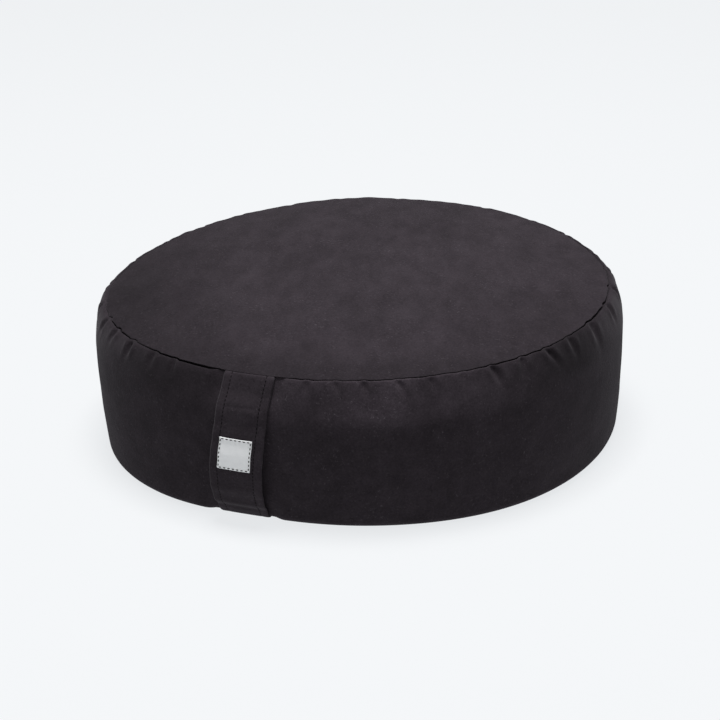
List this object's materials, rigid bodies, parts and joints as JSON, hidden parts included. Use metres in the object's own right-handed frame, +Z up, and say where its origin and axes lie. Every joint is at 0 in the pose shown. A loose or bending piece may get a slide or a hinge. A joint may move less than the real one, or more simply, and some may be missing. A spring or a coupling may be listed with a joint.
{
  "type": "meditation cushion",
  "caption": "Low round floor cushion of brushed suede cloth with a crowned top, a gathered side band, a flat carrying strap down the side and a blank sewn label.",
  "frame": {"origin": "centre of the round base, on the plane the cushion rests on", "axes": "+Z up through the crown; the carrying strap is on the -Y side"},
  "size_m": [0.4009, 0.4127, 0.127],
  "materials": {
    "cover_cloth": "brushed suede, charcoal",
    "strap_cloth": "brushed suede, charcoal",
    "label_cloth": "plain woven, off-white"
  },
  "bodies": {
    "root": {"cushion_body": "cover_cloth", "handle_strap": "strap_cloth", "strap_label": "label_cloth"}
  },
  "joints": []
}
